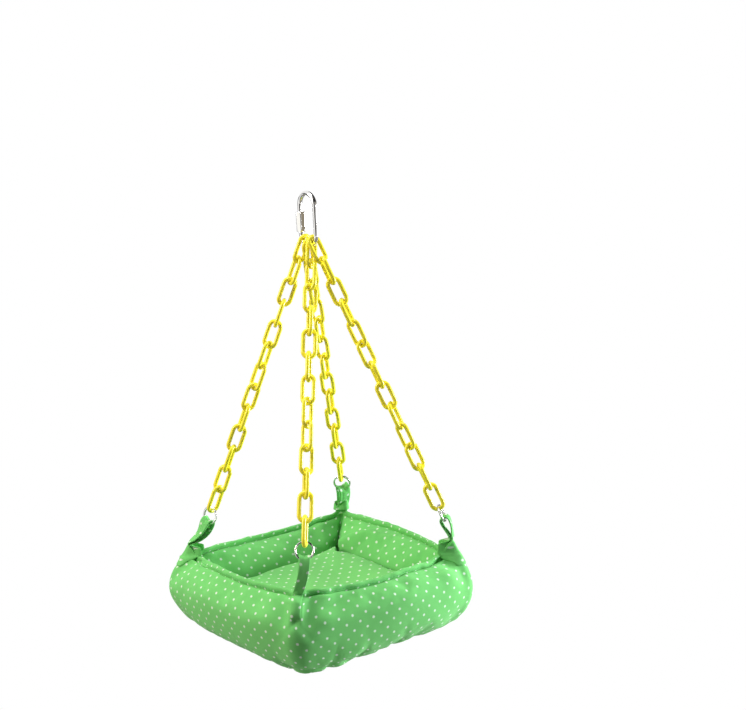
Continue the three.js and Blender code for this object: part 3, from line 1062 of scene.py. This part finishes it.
# a corner strap: a doubled band through its ring, then a tail sewn down the outside of the bed
def sew_strap(corner, bed_tree, tip):
    sx, sy = CORNERS[corner]
    shape = dict(zip(STRAP_VALUES, STRAPS[corner]))
    half = shape["half"] * MM
    ring = rings[corner]
    run = (ring - chain_top(corner)).normalized()
    up = Vector((0, 0, 1))
    outward = Vector((sx, sy, 0)).normalized()
    side = up.cross(outward)
    head = ring + run * (RING_MEAN + STRAP_LOOP - RING_BAND / 2 - 1.1 * MM)
    foot = tip + outward * shape["out"] * MM + up * shape["up"] * MM
    total = (foot - head).length
    bend = head + run * (total / 2)
    columns = STRAP_COLUMNS
    rows, widths = [], []
    # where the foot stands off the rim, the inner ply starts on the rim
    if shape["out"] > 3:
        seat = tip - up * 2.5 * MM - outward * 1.5 * MM
        for i in range(5):
            f = i / 5
            row = []
            for w in columns:
                fall = ((1 - f) * 4 + f * 0.8) * MM * w * w
                row.append(seat.lerp(foot - outward * STRAP_NECK, f) + side * (w * half) - up * fall)
            rows.append(row)
            widths.append(half)
    rise = RING_MEAN - math.sqrt(RING_MEAN ** 2 - half ** 2)
    for q, p in strap_path(total):
        u = min(max(p / total, 0), 1)
        centre = head * (1 - u) ** 2 + bend * 2 * u * (1 - u) + foot * u ** 2
        down = ((bend - head) * (1 - u) + (foot - bend) * u).normalized()
        across = side.cross(down).normalized()
        turn = Matrix.Rotation(-math.radians(shape["twist"]) * (1 - u ** shape["hold"]), 3, down)
        row = []
        for w in columns:
            lift = rise * abs(w) * (1 - u) ** 2
            seam = 0.4 * MM if corner == "back" and abs(w - 0.5) < 0.1 else 0
            offset = turn @ (across * (q - math.copysign(seam, q)) + side * (w * half))
            ripple = noise.noise(centre * 120 + Vector((w, sx, sy))) * 0.35 * MM
            row.append(centre + down * (p - u * total - lift) + offset + across * ripple)
        rows.append(row)
        widths.append(half)
    lay_tail(rows, widths, shape, bed_tree, tip, foot, outward, side)
    n = len(columns)
    faces, maps = join_rows(len(rows), n, closed=False), []
    length = [0.0]
    for i in range(len(rows) - 1):
        length.append(length[i] + (rows[i + 1][n // 2] - rows[i][n // 2]).length)
        for j in range(n - 1):
            for r, c in cell(i, j):
                maps.append((shape["print"] + columns[c] * widths[r] / DOT_CELL, length[r] / DOT_CELL))
    piece = cloth_object(f"{corner}_corner_strap", [p for row in rows for p in row], faces, maps)
    apply_modifier(piece, "SOLIDIFY", thickness=STRAP_PLY, offset=0.0)
    smooth_cloth(piece, COVER)
    face_outward(piece)
    return piece


# the collar's sizes in millimetres: half its width and depth and how much each narrows upwards, its height,
# the slant of its top and how deep the top dips where its ends cross
COLLAR_HALF, COLLAR_NARROWS = 7.6, 1.2
COLLAR_DEEP, COLLAR_THINS = 5, 2.4
COLLAR_TALL, COLLAR_SLANT, COLLAR_DIP = 9.5, 1.5, 6


# the back strap's foot is wrapped in a band, its two ends crossing in front
def fold_collar(tip):
    outward = Vector((1, 1, 0)).normalized()
    side = Vector((0, 0, 1)).cross(outward)
    foot = tip + outward * 1.5 * MM
    count, tiers = 36, 6
    verts, maps = [], []
    for k in range(tiers):
        f = k / (tiers - 1)
        for i in range(count):
            c, s = (g(2 * math.pi * i / count) for g in (math.cos, math.sin))
            w = math.copysign(abs(c) ** 0.55, c)
            deep = math.copysign(abs(s) ** 0.7, s)
            tall = COLLAR_TALL - COLLAR_SLANT * w
            if s < 0:
                tall -= COLLAR_DIP * max(1 - abs(w - 0.35) / 0.75, 0)
            out = side * w * (COLLAR_HALF - COLLAR_NARROWS * f) * MM
            out += outward * deep * (COLLAR_DEEP - COLLAR_THINS * f) * MM
            verts.append(foot + out + Vector((0, 0, (tall * f - 1) * MM)))
    for k in range(tiers - 1):
        for i in range(count):
            for b, a in cell(k, i):
                maps.append((0.3 + a / count * 38 * MM / DOT_CELL, 0.35 + b * 1.8 * MM / DOT_CELL))
    piece = cloth_object("back_strap_collar", verts, join_rows(tiers, count), maps)
    apply_modifier(piece, "SOLIDIFY", thickness=1.1 * MM, offset=0.0)
    smooth_cloth(piece, COVER)
    return piece


# the tail hangs straight from the foot, its edges sewn down on the wall
def lay_tail(rows, widths, shape, bed_tree, tip, foot, outward, side):
    count = 14
    half = shape["half"] * MM

    def wall(z, s):
        start = Vector((foot.x, foot.y, z)) + outward * 0.15 + side * s
        hit = bed_tree.ray_cast(start, -outward)[0]
        reach = hit.dot(outward) if hit else -1
        seat = tip.dot(outward) - 0.8 * abs(s)
        return reach if reach > seat - 12 * MM else seat

    first = foot.dot(outward)
    last = wall(foot.z - shape["tail"] * MM, 0)
    for i in range(1, count + 1):
        f = i / count
        z = foot.z - 1.0 * MM - f * (shape["tail"] - 1) * MM
        wide = half * (1 + (shape["flare"] - 1) * f)
        lift = (1.1 - shape["sunk"] * f ** 4) * MM
        spare = max(first + (last - first) * f - wall(z, 0), 0)
        row = []
        for w in STRAP_COLUMNS:
            reach = wall(z, w * wide) + lift + spare * (1 - abs(w) ** 1.6)
            flat = foot - outward * first
            row.append(Vector((flat.x, flat.y, z)) + outward * reach + side * (w * wide))
        rows.append(row)
        widths.append(wide)


# a stitch: places along it, with the thread's radius there in millimetres
STITCH = ((0.18, 0.1), (0.3, 0.3), (0.7, 0.3), (0.82, 0.1))


# a row of short stitches along the rim's outer face
def sew_rim(bed_points, bed_normals):
    verts, faces = [], []
    first = (WALL_ROWS + 2) * ROUND
    for j in range(ROUND):
        a, b = first + j, first + (j + 1) % ROUND
        if (bed_points[b] - bed_points[a]).length < 2.5 * MM and j % 2:
            continue
        aim = (bed_points[b] - bed_points[a]).normalized()
        out = bed_normals[a]
        across = aim.cross(out).normalized()
        base = len(verts)
        for f, size in STITCH:
            centre = bed_points[a].lerp(bed_points[b], f) + out * 0.1 * MM
            for k in range(6):
                t = math.pi * k / 3
                verts.append(centre + (across * math.cos(t) + out * math.sin(t)) * size * MM)
        faces += join_rows(len(STITCH), 6, first=base)
        faces.append([base + k for k in range(5, -1, -1)])
        faces.append([base + 18 + k for k in range(6)])
    return settle(sewn_object("rim_stitches", verts, faces), "rim_stitches", THREAD)


def tree_of(piece):
    co = [v.co.copy() for v in piece.data.vertices]
    return BVHTree.FromPolygons(co, [list(p.vertices) for p in piece.data.polygons])


# camera, light and backdrop: degrees, metres and pixels of the picture
VIEW = (-37.144, 10.426, -2.834)
VIEW_DISTANCE = 1.391604
VIEW_MIDDLE = Vector((0, 0, -0.2))
VIEW_SHIFT = (50.262 * MM, 52.32 * MM)
FOCAL_PIXELS = 1500
PICTURE_WIDTH = 746
SENSOR = 36


def set_camera():
    azimuth, elevation, roll = (math.radians(x) for x in VIEW)
    level_out = math.cos(elevation)
    back = Vector((math.sin(azimuth) * level_out, -math.cos(azimuth) * level_out, math.sin(elevation)))
    right = Vector((math.cos(azimuth), math.sin(azimuth), 0))
    up = back.cross(right)
    level = right * math.cos(roll) + up * math.sin(roll)
    tall = -right * math.sin(roll) + up * math.cos(roll)
    middle = VIEW_MIDDLE + level * VIEW_SHIFT[0] + tall * VIEW_SHIFT[1]
    data = bpy.data.cameras.new("camera")
    set_values(data, sensor_width=SENSOR, lens=FOCAL_PIXELS * SENSOR / PICTURE_WIDTH, clip_start=0.01)
    camera = new_object("camera", data)
    camera.matrix_world = Matrix((level, tall, back)).transposed().to_4x4()
    camera.location = middle + back * VIEW_DISTANCE
    scene.camera = camera
    return back, right


def aim_at(place, target):
    return (Vector(place) - Vector(target)).to_track_quat("Z", "Y").to_euler()


def add_lamp(name, place, target, size, power, colour=(1, 1, 1)):
    data = bpy.data.lights.new(name, "AREA")
    set_values(data, shape="DISK", size=size, energy=power, color=colour)
    set_values(new_object(name, data), location=place, rotation_euler=aim_at(place, target))


# a card that only polished metal mirrors
def add_card(name, place, target, wide, tall, shade):
    bpy.ops.mesh.primitive_plane_add(size=1, location=place)
    card = bpy.context.object
    set_values(card, name=name, scale=(wide, tall, 1), rotation_euler=aim_at(place, target))
    material, tree, shader = blank(name)
    tune(tree, shader, Base_Color=(0.01, 0.01, 0.01, 1), Roughness=0.9)
    tune(tree, shader, Emission_Color=(*shade, 1), Emission_Strength=1)
    card.data.materials.append(material)
    set_values(card, visible_camera=False, visible_diffuse=False, visible_shadow=False)


# the rays that see the backdrop as white: the camera's own, and those that metal mirrors or glass passes
def seen_white(tree):
    path = tree.nodes.new("ShaderNodeLightPath")
    seen = maths(tree, "MAXIMUM", path.outputs["Is Camera Ray"], path.outputs["Is Glossy Ray"])
    return maths(tree, "MAXIMUM", seen, path.outputs["Is Transmission Ray"])


def set_light(back, right):
    middle = Vector((0, 0, -0.3))
    up = Vector((0, 0, 1))
    warm, cool = (1.0, 0.87, 0.76), (0.94, 0.98, 1.0)
    add_lamp("key", middle + back * 0.2 - right * 1.3 + up * 0.6, middle, 0.7, 18, warm)
    add_lamp("side", middle + right * 1.4 - back * 0.33 + up * 0.1, middle, 0.7, 42, cool)
    add_lamp("top", middle + back * 0.15 + up * 1.5, middle, 0.9, 18)
    dark = (0.01, 0.01, 0.01)
    cards = (
        ("front_card", back * 1.7 - right * 0.4 + up * 0.05, 1.9, 2.6, dark),
        ("right_card", right * 0.94 + back * 0.34 + up * 0.1, 0.75, 1.2, (0.30, 0.26, 0.19)),
        ("left_card", back * 0.8 - right * 1.0 + up * 0.05, 0.5, 1.4, (1.15, 1.14, 1.08)),
        ("right_back_card", right * 0.9 - back * 1.1 + up * 0.2, 0.8, 2.2, (0.03, 0.03, 0.03)),
        ("left_back_card", up * 0.1 - right * 0.95 - back * 0.95, 1.4, 0.9, (0.06, 0.06, 0.06)),
        ("lower_card", up * -0.42, 2.2, 2.2, (0.24, 0.23, 0.21)),
    )
    for name, place, wide, tall, shade in cards:
        add_card(name, middle + place, middle, wide, tall, shade)
    add_card("upper_card", right * 0.5 + up * 0.7, Vector((0, 0, 0)), 2.6, 1.5, dark)
    world = bpy.data.worlds.new("studio")
    scene.world = world
    world.use_nodes = True
    tree = world.node_tree
    tree.nodes.clear()
    glow, white = (put(tree, "ShaderNodeBackground", Color=(1, 1, 1, 1), Strength=x) for x in (0.14, 1.0))
    put(tree, "ShaderNodeOutputWorld", Surface=blend(tree, seen_white(tree), glow, white).outputs[0])


# the floor keeps a faint shadow under the object, is white further out, and is clear from below
def lay_floor():
    drop = 0.35
    bpy.ops.mesh.primitive_plane_add(size=12, location=(0, 0, BASE_Z - drop))
    floor = bpy.context.object
    floor.name = "studio_floor"
    material, tree, shader = blank("pale floor")
    tune(tree, shader, Base_Color=(0.4, 0.4, 0.4, 1), Roughness=0.9)
    fade = map_range(tree, vectors(tree, "LENGTH", object_place(tree)), 0.25, 0.55, 0.75, 1.0)
    white = tree.nodes.new("ShaderNodeEmission")
    above = blend(tree, maths(tree, "MULTIPLY", seen_white(tree), fade), shader, white)
    from_below = tree.nodes.new("ShaderNodeNewGeometry").outputs["Backfacing"]
    both = blend(tree, from_below, above, tree.nodes.new("ShaderNodeBsdfTransparent"))
    tune(tree, tree.nodes["Material Output"], Surface=both.outputs[0])
    floor.data.materials.append(material)


back, right = set_camera()
set_light(back, right)
lay_floor()
hang_links()
hang_rings()
fasten(model_quick_link(), "quick_link", "polished_steel", "quick_link_body")
fasten(model_nut(), "sleeve_nut", "polished_steel", "quick_link_nut")
bed, rim_corners = sew_bed()
bed_tree = tree_of(bed)
fasten(bed, "nest", "cover_cotton", "bed_cover")
cushion = stuff_cushion(bed_tree)
fasten(cushion, "floor_cushion", "cushion_cotton", "floor_cushion")
stitches = sew_rim([v.co.copy() for v in bed.data.vertices], [v.normal.copy() for v in bed.data.vertices])
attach(stitches, "nest")
for corner in CORNERS:
    fasten(sew_strap(corner, bed_tree, rim_corners[corner]), "nest", "cover_cotton")
fasten(fold_collar(rim_corners["back"]), "nest", "cover_cotton")
